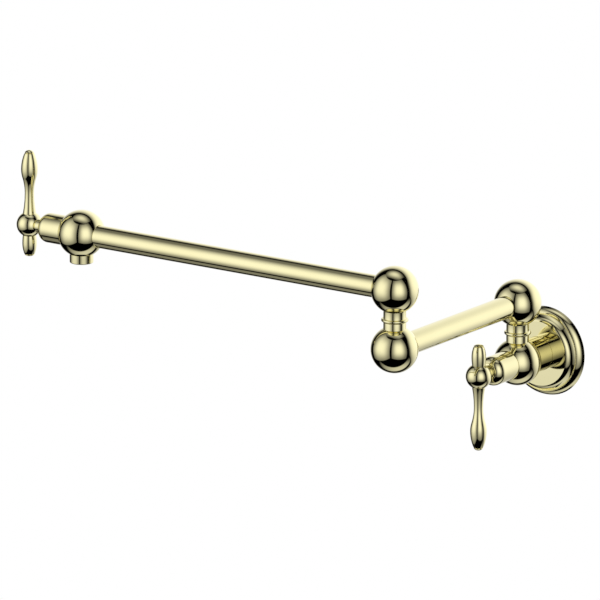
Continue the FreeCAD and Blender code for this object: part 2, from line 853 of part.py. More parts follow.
def inner_arm():
    """Shoulder ball, tube and the lower ball of the elbow with its swivel fittings."""
    shoulder = new_part("shoulder_ball", SHOULDER)
    upper_ball(shoulder)
    tube_socket(shoulder, "Y", -1)
    arm_tube("inner_tube", SHOULDER, TO_ROOM, size.inner_reach)
    lower = new_part("elbow_lower_ball", ELBOW_LOWER)
    lower_ball(lower, "Z")
    post_socket(lower, "Z")
    tube_socket(lower, "Y", 1)
    swivel_fittings("elbow", ELBOW_LOWER)


def outer_arm():
    """Upper ball of the elbow, tube, spout ball, aerator and the spout valve's fixed pieces."""
    upper = new_part("elbow_upper_ball", ELBOW_UPPER)
    upper_ball(upper)
    tube_socket(upper, "X", -1)
    arm_tube("outer_tube", ELBOW_UPPER, TO_LEFT, size.outer_reach)
    cartridge("spout", SPOUT, TO_LEFT)
    bonnet("spout", SPOUT, TO_LEFT, size.spout_bonnet_front)


spout_flat = side_of(ball, size.spout_ring)


def spout_ball():
    """The ball at the end of the outer arm, with the spout socket in its underside."""
    body = new_part("spout_ball", SPOUT, TO_LEFT)
    turn_solid(body, "Z", [(0, -ball), (ball, 0, ball), (0, ball, ball)])
    valve_seat(body)
    tube_socket(body, "Z", -1)
    bore(body, "X", ball, -ball, -spout_flat)
    bore(body, "X", size.spout_socket, -spout_flat, -size.spout_seat)
    bore(body, "X", size.waterway, -size.spout_seat, 0)


def aerator():
    """Washer, housing, core and screen of the spout, along Z downwards."""
    washer_low = -(size.spout_seat + size.spout_washer)
    end, rounding = -size.spout_end, size.spout_round
    lip_top = end + size.aerator_lip_thick
    washer = new_part("aerator_washer", SPOUT)
    washer_corners = box_outline(
        size.spout_washer_bore, size.spout_tenon, washer_low, -size.spout_seat
    )
    turn_solid(washer, "Z", washer_corners)

    housing = new_part("aerator_housing", SPOUT)
    corners = [
        (size.aerator_lip, end),
        (size.spout_ring - rounding, end),
        (size.spout_ring, end + rounding, rounding),
        (size.spout_ring, -spout_flat),
        (size.spout_tenon, -spout_flat),
        (size.spout_tenon, washer_low),
        (size.aerator_bore, washer_low),
        (size.aerator_bore, lip_top),
        (size.aerator_lip, lip_top),
    ]
    turn_solid(housing, "Z", corners)

    fit = size.aerator_bore - size.aerator_play
    screen_top = lip_top + size.screen_thick
    screen = new_part("aerator_screen", SPOUT)
    add_round(screen, "Z", fit, lip_top, screen_top)
    hole = drill_offset(screen, size.screen_hole, size.screen_hole_offset, lip_top, screen_top)
    repeat_round(screen, hole, size.screen_holes)

    core_top = -size.core_top
    roof = core_top - size.core_roof
    core = new_part("aerator_core", SPOUT)
    add_round(core, "Z", fit, screen_top, core_top)
    bore(core, "Z", size.core_bore, screen_top, roof)
    hole = drill_offset(core, size.core_hole, size.core_hole_offset, roof, core_top)
    repeat_round(core, hole, size.core_holes)


# ---------------------------------------------------------------- the whole object
wall_flange()
wall_base()
handle(
    "wall", WALL_VALVE, WALL_HUB, TO_ROOM, HALF_TURN,
    size.wall_hub_distance, size.wall_bonnet_front, -1,
)
inner_arm()
outer_arm()
spout_ball()
aerator()
handle(
    "spout", SPOUT, SPOUT_HUB, TO_LEFT, ROW,
    size.spout_hub_distance, size.spout_bonnet_front, 1,
)
doc.recompute()


def check(item):
    """Stops on a failed object, a bad shape or a cut that took nothing away."""
    if {"Invalid", "Error"} & set(item.State):
        raise RuntimeError(f"{item.Label} ({item.Name}) failed: {item.State}")
    base = getattr(item, "BaseFeature", None)
    cuts = ("Groove", "Pocket", "Subtractive")
    if base is not None and any(word in item.TypeId for word in cuts):
        if item.Shape.Volume >= base.Shape.Volume - 1e-4:
            raise RuntimeError(f"{item.Name} cuts nothing")


for item in doc.Objects:
    check(item)
os.makedirs("parts", exist_ok=True)
for body in nodes:
    if body.Shape.isNull() or not body.Shape.isValid():
        raise RuntimeError(f"{body.Label} has no valid shape")
    body.Shape.exportStep(f"parts/{body.Label}.step")
print(len(nodes), "parts")
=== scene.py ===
"""Looks of the wall mounted pot filler: polished pale gold over brass, in a white studio.

Metres, in the part's own frame: the wall is the plane Y = 0, +X is right and +Z is up.
Outlines are in millimetres, away from and along the axis that they turn about.
"""
import json
import math

import bpy
import numpy as np
from mathutils import Matrix, Vector


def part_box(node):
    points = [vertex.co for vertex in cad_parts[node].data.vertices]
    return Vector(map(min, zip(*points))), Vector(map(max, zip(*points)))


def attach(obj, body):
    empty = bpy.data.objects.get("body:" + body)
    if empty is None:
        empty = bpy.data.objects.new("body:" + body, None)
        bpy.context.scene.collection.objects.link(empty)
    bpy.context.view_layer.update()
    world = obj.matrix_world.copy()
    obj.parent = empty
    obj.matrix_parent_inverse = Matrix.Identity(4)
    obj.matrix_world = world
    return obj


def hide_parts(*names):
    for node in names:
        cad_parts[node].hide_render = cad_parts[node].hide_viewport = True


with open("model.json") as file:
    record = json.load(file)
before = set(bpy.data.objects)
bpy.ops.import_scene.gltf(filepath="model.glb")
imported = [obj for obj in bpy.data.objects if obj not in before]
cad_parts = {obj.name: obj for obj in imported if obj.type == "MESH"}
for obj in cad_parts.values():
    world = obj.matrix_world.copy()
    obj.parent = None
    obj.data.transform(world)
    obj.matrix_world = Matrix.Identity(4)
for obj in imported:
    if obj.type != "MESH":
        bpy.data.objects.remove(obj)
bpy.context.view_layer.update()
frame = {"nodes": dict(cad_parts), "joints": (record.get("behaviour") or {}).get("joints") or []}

# ------------------------------------------------------------------ wall flange
# The stepped rose that covers the supply hole: a turned brass shell, plated and polished.
# Its rim holds a rubber gasket against the wall and an O-ring keeps it steady on the shank.
MM = 0.001
ARC_STEP = 4.0  # degrees between two points of an arc
CRISP_TURN = math.radians(12)  # a corner that turns less isn't eased
EASE_SHARE = 0.45  # the most that an eased corner takes of a stretch
EASE_STEPS = 4


class Stretch:
    """A straight line or an arc of an outline, in (radius, along) millimetres."""

    def __init__(self, start, end, bend=0.0):
        self.start, self.end, self.bend = np.array(start, float), np.array(end, float), bend
        chord = self.end - self.start
        self.length = float(np.hypot(*chord))
        if not bend:
            self.heading = (chord / self.length, chord / self.length)
            return
        half = self.length / 2
        rise = math.sqrt(max(bend * bend - half * half, 0.0))
        left = np.array([-chord[1], chord[0]]) / self.length
        side = 1.0 if bend > 0 else -1.0
        self.centre = (self.start + self.end) / 2 + left * rise * side
        self.first = math.atan2(*(self.start - self.centre)[::-1])
        self.sweep = 2 * math.asin(min(half / abs(bend), 1.0)) * side
        self.length = abs(bend * self.sweep)
        self.heading = (self.tangent(0.0), self.tangent(1.0))

    def tangent(self, share):
        angle = self.first + self.sweep * share
        side = 1.0 if self.bend > 0 else -1.0
        return np.array([-math.sin(angle), math.cos(angle)]) * side

    def point(self, share):
        if not self.bend:
            return self.start + (self.end - self.start) * share
        angle = self.first + self.sweep * share
        return self.centre + np.array([math.cos(angle), math.sin(angle)]) * abs(self.bend)

    def outward(self, share):
        ahead = self.tangent(share) if self.bend else self.heading[0]
        return np.array([ahead[1], -ahead[0]])


def ease_corners(stretches, closed, edge):
    """Trims the stretches at every crisp corner, and gives the bends of the arcs between."""
    trims = [[0.0, 1.0] for _ in stretches]
    bends = {}
    for index, stretch in enumerate(stretches):
        following = (index + 1) % len(stretches)
        if following == 0 and not closed:
            continue
        leave, meet = stretch.heading[1], stretches[following].heading[0]
        turn = math.atan2(leave[0] * meet[1] - leave[1] * meet[0], float(leave @ meet))
        if abs(turn) < CRISP_TURN or not edge:
            continue
        room = EASE_SHARE * min(stretch.length, stretches[following].length)
        cut = min(edge * math.tan(abs(turn) / 2), room)
        trims[index][1] -= cut / stretch.length
        trims[following][0] += cut / stretches[following].length
        bends[index] = math.copysign(cut / math.tan(abs(turn) / 2), turn)
    return trims, bends


def walk(corners, closed, edge, line_step):
    """Samples an outline as a list of (start, end, normal at start, normal at end).

    A corner is (radius, along) or, after an arc, (radius, along, bend): a positive bend
    bulges outwards. Every crisp corner is eased with a small arc of radius edge.
    """
    stretches = []
    for before, corner in zip(corners[-1:] + corners[:-1], corners):
        bend = corner[2] if len(corner) > 2 else 0.0
        stretches.append(Stretch(before[:2], corner[:2], bend))
    if not closed:
        stretches = stretches[1:]
    trims, bends = ease_corners(stretches, closed, edge)
    steps = []

    def sample(stretch, shares):
        for share, next_share in zip(shares[:-1], shares[1:]):
            steps.append((stretch.point(share), stretch.point(next_share),
                          stretch.outward(share), stretch.outward(next_share)))

    for index, stretch in enumerate(stretches):
        low, high = trims[index]
        count = 1
        if stretch.bend:
            span = abs(math.degrees(stretch.sweep)) * (high - low)
            count = max(3, math.ceil(span / ARC_STEP))
        elif line_step:
            count = max(1, math.ceil(stretch.length / line_step))
        sample(stretch, np.linspace(low, high, count + 1))
        if index in bends:
            following = (index + 1) % len(stretches)
            start = stretches[following].point(trims[following][0])
            eased = Stretch(stretch.point(high), start, bends[index])
            sample(eased, np.linspace(0.0, 1.0, EASE_STEPS + 1))
    return steps


def turned(name, corners, place, closed=False, edge=0.2, around=160, line_step=0.0):
    """A turned piece: the outline swept round the Z axis of place, with its true normals."""
    steps = walk(corners, closed, edge, line_step)
    angles = np.linspace(0, 2 * math.pi, around, endpoint=False)
    circle = np.stack([np.cos(angles), np.sin(angles)], axis=1)
    points = [step[0] for step in steps] + ([] if closed else [steps[-1][1]])
    vertices, rings = [], []
    for radius, along in points:
        first = len(vertices)
        if radius < 1e-6:
            vertices.append((0.0, 0.0, along))
            rings.append([first] * around)
            continue
        vertices.extend((x * radius, y * radius, along) for x, y in circle)
        rings.append(list(range(first, first + around)))
    faces, normals = [], []
    for index, (start, end, normal, next_normal) in enumerate(steps):
        low, high = rings[index], rings[(index + 1) % len(rings)]
        for spoke in range(around):
            beside = (spoke + 1) % around
            loop = [(low[spoke], spoke, normal), (low[beside], beside, normal),
                    (high[beside], beside, next_normal), (high[spoke], spoke, next_normal)]
            if low[spoke] == low[beside]:
                del loop[1]
            elif high[spoke] == high[beside]:
                del loop[3]
            faces.append([vertex for vertex, _, _ in loop])
            for _, turn, (across, ahead) in loop:
                x, y = circle[turn]
                normals.append((x * across, y * across, ahead))
    mesh = bpy.data.meshes.new(name)
    mesh.from_pydata([tuple(c * MM for c in vertex) for vertex in vertices], [], faces)
    mesh.polygons.foreach_set("use_smooth", [True] * len(mesh.polygons))
    mesh.transform(place)
    turn = place.to_3x3()
    mesh.normals_split_custom_set([turn @ Vector(normal) for normal in normals])
    piece = bpy.data.objects.new(name, mesh)
    bpy.context.scene.collection.objects.link(piece)
    return piece


def new_material(name):
    """A node material, with its tree, its Principled shader and the Object coordinates."""
    material = bpy.data.materials.new(name)
    material.use_nodes = True
    tree = material.node_tree
    coordinates = tree.nodes.new("ShaderNodeTexCoord")
    return material, tree, tree.nodes["Principled BSDF"], coordinates.outputs["Object"]


def add_node(tree, kind, inputs, **settings):
    """A node with its settings, and its inputs set to plain values or linked to sockets."""
    node = tree.nodes.new(kind)
    for name, value in settings.items():
        setattr(node, name, value)
    for name, value in inputs.items():
        if isinstance(value, bpy.types.NodeSocket):
            tree.links.new(value, node.inputs[name])
        else:
            node.inputs[name].default_value = value
    return node


def math_node(tree, operation, *values):
    """A Math node whose inputs are numbers or sockets."""
    inputs = dict(enumerate(values))
    return add_node(tree, "ShaderNodeMath", inputs, operation=operation).outputs[0]


def noise(tree, vector, scale, detail=2.0):
    """Noise in waves per metre."""
    inputs = {"Vector": vector, "Scale": scale, "Detail": detail}
    return add_node(tree, "ShaderNodeTexNoise", inputs).outputs["Fac"]


def ramp(tree, value, low, high):
    """A smooth step: 0 up to low, and 1 from high on."""
    inputs = {"Value": value, "From Min": low, "From Max": high}
    node = add_node(tree, "ShaderNodeMapRange", inputs, interpolation_type="SMOOTHSTEP")
    return node.outputs["Result"]


def blend_colours(tree, share, first, second):
    """Mixes two plain colours by a mask."""
    inputs = {"Factor": share, "A": (*first, 1.0), "B": (*second, 1.0)}
    return add_node(tree, "ShaderNodeMix", inputs, data_type="RGBA").outputs["Result"]


def bump(tree, shader, height, distance, strength):
    """Feeds a height to a shader's normal."""
    inputs = {"Height": height, "Distance": distance, "Strength": strength}
    node = add_node(tree, "ShaderNodeBump", inputs)
    tree.links.new(node.outputs["Normal"], shader.inputs["Normal"])


def build_hand_polish():
    """Group: hairline marks in three directions and the faint haze that wiping leaves."""
    group = bpy.data.node_groups.new("hand_polish", "ShaderNodeTree")
    group.interface.new_socket("Vector", in_out="INPUT", socket_type="NodeSocketVector")
    for name in ("Marks", "Haze"):
        group.interface.new_socket(name, in_out="OUTPUT", socket_type="NodeSocketFloat")
    vector = group.nodes.new("NodeGroupInput").outputs["Vector"]
    leave = group.nodes.new("NodeGroupOutput")
    fine_and_long = (3500.0, 60.0, 60.0)
    hairlines = []
    for turn in ((0.2, 0.5, 0.1), (1.1, 0.3, 0.9), (0.6, 1.3, 2.0)):
        inputs = {"Vector": vector, "Scale": fine_and_long, "Rotation": turn}
        mapped = add_node(group, "ShaderNodeMapping", inputs).outputs["Vector"]
        grain = noise(group, mapped, scale=1.0, detail=1.0)
        hairlines.append(ramp(group, grain, low=0.68, high=0.78))
    marks = math_node(group, "MAXIMUM", hairlines[0], hairlines[1])
    marks = math_node(group, "MAXIMUM", marks, hairlines[2])
    patches = ramp(group, noise(group, vector, scale=45.0), low=0.35, high=0.7)
    group.links.new(math_node(group, "MULTIPLY", marks, patches), leave.inputs["Marks"])
    wiped = ramp(group, noise(group, vector, scale=22.0, detail=4.0), low=0.3, high=0.75)
    group.links.new(wiped, leave.inputs["Haze"])
    return group


hand_polish = build_hand_polish()


def metal(name, clean, hazed):
    """A metal that is a little paler where it was wiped, with its polish marks and haze."""
    material, tree, shader, vector = new_material(name)
    polish = add_node(tree, "ShaderNodeGroup", {}, node_tree=hand_polish)
    tree.links.new(vector, polish.inputs["Vector"])
    marks, haze = polish.outputs["Marks"], polish.outputs["Haze"]
    tree.links.new(blend_colours(tree, haze, clean, hazed), shader.inputs["Base Color"])
    shader.inputs["Metallic"].default_value = 1.0
    return material, tree, shader, vector, marks, haze


GOLD_SLOT = "polished_gold_brass"


def polished_gold():
    """Pale gold plate, mirror bright: a trace of orange peel, wiping haze and hairlines."""
    material, tree, shader, vector, marks, haze = metal(
        GOLD_SLOT, clean=(0.82, 0.765, 0.45), hazed=(0.84, 0.785, 0.47))
    rough = math_node(tree, "MULTIPLY_ADD", haze, 0.02, 0.03)
    rough = math_node(tree, "MULTIPLY_ADD", marks, 0.05, rough)
    tree.links.new(rough, shader.inputs["Roughness"])
    peel = noise(tree, vector, scale=160.0, detail=1.0)
    height = math_node(tree, "MULTIPLY_ADD", marks, -0.08, peel)
    bump(tree, shader, height, distance=0.000012, strength=0.35)
    return material


gold = polished_gold()


def finish_piece(piece, material, body, slot, *nodes):
    """Gives a piece its material and its body, and hides the CAD nodes that it stands for. The
    slot is not used.
    """
    piece.data.materials.clear()
    piece.data.materials.append(material)
    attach(piece, body)
    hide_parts(*nodes)


UP = Matrix.Identity(4)
TO_LEFT = Matrix.Rotation(math.radians(-90), 4, "Y")
TO_ROOM = Matrix.Rotation(math.radians(90), 4, "Z") @ TO_LEFT

SHANK_RADIUS = 14.5
FLANGE_BORE = 14.55
FLANGE_FRONT = 13.0
SHELL_FLOOR = 11.2
GUIDE_RADIUS, GUIDE_BACK = 18.3, 5.0
RIM_WALL = 1.8
GASKET_THICK, GASKET_PLAY = 2.5, 0.2
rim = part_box("wall_flange")[1].x / MM
inside_rim, gasket_bore = rim - RIM_WALL, rim - 7.0
# The guide on the shank and the shell's inside, then the rim and the mouldings in front.
flange_outline = [
    (FLANGE_BORE, GUIDE_BACK), (GUIDE_RADIUS, GUIDE_BACK), (GUIDE_RADIUS, SHELL_FLOOR),
    (rim - 11.5, SHELL_FLOOR), (rim - 9.2, 7.8), (gasket_bore, GASKET_THICK),
    (inside_rim, GASKET_THICK), (inside_rim, 0.0), (rim, 0.0), (rim - 0.7, 1.9),
    (rim - 4.7, 6.4, 7.5), (rim - 5.3, 5.7), (rim - 7.4, 9.6, -15.0),
    (rim - 10.6, FLANGE_FRONT, 5.9), (FLANGE_BORE, FLANGE_FRONT),
]
flange = turned("wall_flange_shell", flange_outline, TO_ROOM, closed=True, around=256)
finish_piece(flange, gold, "wall_base", GOLD_SLOT, "wall_flange")


def moulded(name, colour, pale, rough, grain):
    """A moulded or pressed material: slight colour drift, soft gloss and a fine grain."""
    material, tree, shader, vector = new_material(name)
    drift = ramp(tree, noise(tree, vector, scale=60.0, detail=3.0), low=0.3, high=0.7)
    tree.links.new(blend_colours(tree, drift, colour, pale), shader.inputs["Base Color"])
    fine = noise(tree, vector, grain, detail=3.0)
    tree.links.new(math_node(tree, "MULTIPLY_ADD", fine, 0.2, rough), shader.inputs["Roughness"])
    bump(tree, shader, fine, distance=0.00004, strength=0.4)
    return material


def ring(inner, outer, low, high):
    """The outline of a plain ring, or of a plug where inner is 0."""
    return [(inner, low), (outer, low), (outer, high), (inner, high)]


rubber = moulded("black_rubber", (0.012, 0.012, 0.013), (0.03, 0.03, 0.032), 0.55, 1800.0)
gasket_outline = ring(gasket_bore, inside_rim - GASKET_PLAY, 0.0, GASKET_THICK)
gasket = turned("gasket_ring", gasket_outline, TO_ROOM, closed=True, around=192)
finish_piece(gasket, rubber, "wall_base", "black_rubber", "flange_gasket")

# ------------------------------------------------------------------ valve body
# The cast and turned brass body on the wall: a ball with the threaded shank at its back,
# the swivel neck on top and a flat seat for the bonnet in front. A punched steel screen
# lies at the bottom of its threaded inlet.
BALL_RADIUS = 20.0
PAST_BALL = BALL_RADIUS * 1.2
NECK_RADIUS, NECK_TOP = 9.5, 23.4
POST_SOCKET, POST_SEAT = 6.52, 14.0
BONNET_RADIUS = 12.5
THREAD_MINOR, THREAD_DEPTH, THREAD_PITCH = 9.32, 1.1, 1.814
THREAD_FLANK = 2.6  # a groove takes 2 / 2.6 of the pitch
THREAD_STEP, THREAD_RELIEF = 0.22, 1.0
SAME_BORE = 0.01
MOUTH_CHAMFER = 0.8
SCREEN_RECESS, RECESS_DEPTH = 7.5, 0.8
WATERWAY, WATERWAY_DEPTH = 5.5, 7.0
SHANK_END = -8.0
INLET_DEPTH = 16.0
hinge_at = {joint["name"]: Vector(joint["pos_m"]) for joint in frame["joints"]}
shoulder = hinge_at["wall_swivel"]
valve = Vector((shoulder.x, shoulder.y, 0.0))
wall_level = valve.y / MM
inlet_floor = wall_level + INLET_DEPTH


def ball_meets(radius):
    """Where a cylinder of that radius leaves the ball, from the ball's centre."""
    return math.sqrt(BALL_RADIUS**2 - radius**2)


bonnet_seat = ball_meets(BONNET_RADIUS)


def at(point, turn=UP):
    """A frame at a point of the part, turned."""
    return Matrix.Translation(point) @ turn


def moved_along(place, distance):
    """A frame moved along its own Z axis, in millimetres."""
    return place @ Matrix.Translation((0, 0, distance * MM))


def combine(piece, other, operation):
    """Joins a piece with another or cuts it away, exactly, and drops the other."""
    modifier = piece.modifiers.new("combine", "BOOLEAN")
    modifier.operation = operation
    modifier.solver = "EXACT"
    modifier.object = other
    evaluated = piece.evaluated_get(bpy.context.evaluated_depsgraph_get())
    mesh = bpy.data.meshes.new_from_object(evaluated)
    piece.modifiers.clear()
    old = piece.data
    piece.data = mesh
    bpy.data.meshes.remove(old)
    bpy.data.objects.remove(other)


SAME_RADIUS = 0.00002
SAME_HEADING = 0.98
CRISP_EDGE = math.radians(28)


def sharpen(piece, centre, radius):
    """Shades a ball by its true normals, and the rest smooth up to its crisp edges."""
    mesh = piece.data
    mesh.polygons.foreach_set("use_smooth", [True] * len(mesh.polygons))
    for name in ("custom_normal", "sharp_edge", "sharp_face"):
        attribute = mesh.attributes.get(name)
        if attribute:
            mesh.attributes.remove(attribute)
    mesh.set_sharp_from_angle(angle=CRISP_EDGE)
    normals = [Vector((0, 0, 0))] * len(mesh.loops)
    for polygon in mesh.polygons:
        spokes = [mesh.vertices[vertex].co - centre for vertex in polygon.vertices]
        if any(abs(spoke.length - radius) > SAME_RADIUS for spoke in spokes):
            continue
        if polygon.normal.dot(sum(spokes, Vector()).normalized()) < SAME_HEADING:
            continue
        for loop, spoke in zip(polygon.loop_indices, spokes):
            normals[loop] = spoke.normalized()
    mesh.normals_split_custom_set(normals)


def lower_ball(name, centre):
    """A ball with a plain neck on top, bored for its post."""
    corners = [(0, -BALL_RADIUS), (NECK_RADIUS, ball_meets(NECK_RADIUS), BALL_RADIUS),
               (NECK_RADIUS, NECK_TOP), (POST_SOCKET, NECK_TOP), (POST_SOCKET, POST_SEAT),
               (0, POST_SEAT)]
    return turned(name, corners, at(centre), edge=0.15)


def cut_thread(piece, place, start, end):
    """Cuts the helical thread into the bore wall between two depths."""
    back = place.inverted()
    for vertex in piece.data.vertices:
        local = back @ vertex.co / MM
        across = math.hypot(local.x, local.y)
        if abs(across - THREAD_MINOR) > SAME_BORE or not start < local.z < end:
            continue
        phase = (local.z / THREAD_PITCH - math.atan2(local.y, local.x) / (2 * math.pi)) % 1.0
        depth = THREAD_DEPTH * max(0.0, 1.0 - abs(phase - 0.5) * THREAD_FLANK)
        runout = min(1.0, (end - local.z) / THREAD_PITCH, (local.z - start) / THREAD_PITCH)
        factor = (across + depth * runout) / across
        local.x *= factor
        local.y *= factor
        vertex.co = place @ (local * MM)


recess_floor = inlet_floor + RECESS_DEPTH
waterway_end = inlet_floor + WATERWAY_DEPTH
shank_outline = [
    (0, waterway_end), (WATERWAY, waterway_end), (WATERWAY, recess_floor),
    (SCREEN_RECESS, recess_floor), (SCREEN_RECESS, inlet_floor), (THREAD_MINOR, inlet_floor),
    (THREAD_MINOR, wall_level + MOUTH_CHAMFER), (THREAD_MINOR + MOUTH_CHAMFER, wall_level),
    (SHANK_RADIUS, wall_level), (SHANK_RADIUS, SHANK_END), (0, SHANK_END),
]
valve_place = at(valve, TO_ROOM)
shank = turned("shank", shank_outline, valve_place, edge=0.0, line_step=THREAD_STEP)
cut_thread(shank, valve_place, start=wall_level + MOUTH_CHAMFER + 0.05,
           end=inlet_floor - THREAD_RELIEF)
valve_body = lower_ball("valve_body_shell", valve)
combine(valve_body, shank, "UNION")


def plug(radius, low, high, place, around=48):
    """A plain rod or disc along the Z axis of place, for cutting."""
    return turned("cutter", ring(0, radius, low, high), place, edge=0.0, around=around)


def cut_flat(piece, place, distance):
    """Cuts a ball flat at a distance from its centre, on the side of the frame's Z axis."""
    combine(piece, plug(PAST_BALL, distance, PAST_BALL, place), "DIFFERENCE")


cut_flat(valve_body, valve_place, bonnet_seat)
sharpen(valve_body, valve, BALL_RADIUS * MM)
finish_piece(valve_body, gold, "wall_base", GOLD_SLOT, "valve_body")


def start_tree(name, *sizes):
    """A geometry tree with named sizes and a material: its inputs and their identifiers."""
    tree = bpy.data.node_groups.new(name, "GeometryNodeTree")
    tree.interface.new_socket("Geometry", in_out="OUTPUT", socket_type="NodeSocketGeometry")
    identifiers = {}
    for label in (*sizes, "Material"):
        kind = "NodeSocketMaterial" if label == "Material" else "NodeSocketFloat"
        socket = tree.interface.new_socket(label, in_out="INPUT", socket_type=kind)
        identifiers[label] = socket.identifier
    return tree, tree.nodes.new("NodeGroupInput").outputs, identifiers


def finish_tree(tree, geometry, material):
    """Makes the geometry real, sets its material and gives it out."""
    realize = add_node(tree, "GeometryNodeRealizeInstances", {"Geometry": geometry})
    inputs = {"Geometry": realize.outputs["Geometry"], "Material": material}
    paint = add_node(tree, "GeometryNodeSetMaterial", inputs)
    add_node(tree, "NodeGroupOutput", {"Geometry": paint.outputs["Geometry"]})


def punched_disc_tree():
    """Geometry nodes: a round sheet with even holes on a hexagonal grid."""
    tree, given, identifiers = start_tree(
        "punched_disc", "Radius", "Thickness", "Hole Radius", "Spacing")
    columns = 15
    span = math_node(tree, "MULTIPLY", given["Spacing"], columns - 1)
    grid = add_node(tree, "GeometryNodeMeshGrid", {
        "Vertices X": columns, "Vertices Y": columns, "Size X": span,
        "Size Y": math_node(tree, "MULTIPLY", span, math.sqrt(3) / 2)})
    index = tree.nodes.new("GeometryNodeInputIndex").outputs[0]
    odd_row = math_node(tree, "MODULO", math_node(tree, "MODULO", index, columns), 2)
    half_step = math_node(tree, "MULTIPLY", math_node(tree, "MULTIPLY", odd_row, 0.5),
                          given["Spacing"])
    shift = add_node(tree, "ShaderNodeCombineXYZ", {"X": half_step})
    move = add_node(tree, "GeometryNodeSetPosition", {
        "Geometry": grid.outputs["Mesh"], "Offset": shift.outputs["Vector"]})
    position = tree.nodes.new("GeometryNodeInputPosition").outputs[0]
    length = add_node(tree, "ShaderNodeVectorMath", {0: position}, operation="LENGTH")
    margin = math_node(tree, "SUBTRACT", given["Radius"], given["Spacing"])
    inside = add_node(tree, "FunctionNodeCompare", {"A": length.outputs["Value"], "B": margin},
                      data_type="FLOAT", operation="LESS_THAN")
    hole = add_node(tree, "GeometryNodeCurvePrimitiveCircle", {
        "Resolution": 16, "Radius": given["Hole Radius"]})
    holes = add_node(tree, "GeometryNodeInstanceOnPoints", {
        "Points": move.outputs["Geometry"], "Selection": inside.outputs["Result"],
        "Instance": hole.outputs["Curve"]})
    loose = add_node(tree, "GeometryNodeRealizeInstances", {
        "Geometry": holes.outputs["Instances"]})
    edge = add_node(tree, "GeometryNodeCurvePrimitiveCircle", {
        "Resolution": 96, "Radius": given["Radius"]})
    drawing = add_node(tree, "GeometryNodeJoinGeometry", {"Geometry": edge.outputs["Curve"]})
    tree.links.new(loose.outputs["Geometry"], drawing.inputs["Geometry"])
    fill = add_node(tree, "GeometryNodeFillCurve", {"Curve": drawing.outputs["Geometry"]})
    sheet = add_node(tree, "GeometryNodeExtrudeMesh", {
        "Mesh": fill.outputs["Mesh"], "Offset Scale": given["Thickness"], "Individual": False})
    back = add_node(tree, "GeometryNodeFlipFaces", {"Mesh": fill.outputs["Mesh"]})
    both = add_node(tree, "GeometryNodeJoinGeometry", {"Geometry": sheet.outputs["Mesh"]})
    tree.links.new(back.outputs["Mesh"], both.inputs["Geometry"])
    weld = add_node(tree, "GeometryNodeMergeByDistance", {
        "Geometry": both.outputs["Geometry"], "Distance": 0.000001})
    finish_tree(tree, weld.outputs["Geometry"], given["Material"])
    return tree, identifiers


punched_disc = punched_disc_tree()


def grown(name, maker, place, **values):
    """Runs a geometry tree with its inputs set and gives back its plain mesh, in place."""
    tree, identifiers = maker
    piece = bpy.data.objects.new(name, bpy.data.meshes.new(name))
    bpy.context.scene.collection.objects.link(piece)
    modifier = piece.modifiers.new("grown", "NODES")
    modifier.node_group = tree
    for label, value in values.items():
        modifier[identifiers[label.replace("_", " ")]] = value
    evaluated = piece.evaluated_get(bpy.context.evaluated_depsgraph_get())
    mesh = bpy.data.meshes.new_from_object(evaluated)
    piece.modifiers.clear()
    piece.data = mesh
    mesh.transform(place)
    return piece


def bare_metal(name, clean, hazed, rough, grain, strength):
    """Unplated metal: rougher where it is marked, with a fine tool grain."""
    material, tree, shader, vector, marks, _ = metal(name, clean, hazed)
    tree.links.new(math_node(tree, "MULTIPLY_ADD", marks, 0.2, rough), shader.inputs["Roughness"])
    bump(tree, shader, noise(tree, vector, grain), distance=0.00002, strength=strength)
    return material


steel = bare_metal("stainless_steel", (0.56, 0.56, 0.57), (0.66, 0.66, 0.66), 0.18, 900.0, 0.3)
inlet_screen = grown(
    "inlet_filter", punched_disc, moved_along(valve_place, inlet_floor + 0.1),
    Radius=7.4 * MM, Thickness=0.6 * MM, Hole_Radius=0.5 * MM, Spacing=1.6 * MM, Material=steel,
)
finish_piece(inlet_screen, steel, "wall_base", "stainless_steel", "inlet_screen")

# ------------------------------------------------------------------ swivel columns
# Each column turns on a brass post that is fixed in the lower neck and sealed by O-rings.
# A thin filled washer shows as a fine dark line between the lower neck and the collar.
ptfe = moulded("washer_ptfe", (0.10, 0.085, 0.06), (0.14, 0.12, 0.085), 0.35, 900.0)
inner_brass = bare_metal(
    "inner_brass", (0.58, 0.42, 0.16), (0.66, 0.50, 0.22), 0.24, 1400.0, 0.4)


def dress(material, *nodes):
    """Gives CAD pieces that are shown as they are their material."""
    for node in nodes:
        piece = frame["nodes"][node]
        piece.data.materials.clear()
        piece.data.materials.append(material)


WASHER_BORE, WASHER_RADIUS = 6.6, 9.4
WASHER_GAP, WASHER_PLAY = 0.5, 0.02
washer_outline = ring(WASHER_BORE, WASHER_RADIUS, NECK_TOP, NECK_TOP + WASHER_GAP - WASHER_PLAY)
elbow = hinge_at["elbow_swivel"]
elbow_lower = Vector((elbow.x, elbow.y, shoulder.z))
for prefix, body, centre in (("wall", "wall_base", valve), ("elbow", "inner_arm", elbow_lower)):
    washer = turned(f"{prefix}_washer_ring", washer_outline, at(centre), closed=True, edge=0.08)
    finish_piece(washer, ptfe, body, "washer_ptfe", f"{prefix}_swivel_washer")
    dress(inner_brass, f"{prefix}_swivel_post")
    dress(rubber, f"{prefix}_swivel_o_rings")
    dress(steel, f"{prefix}_swivel_snap_ring")
dress(rubber, "flange_o_ring")

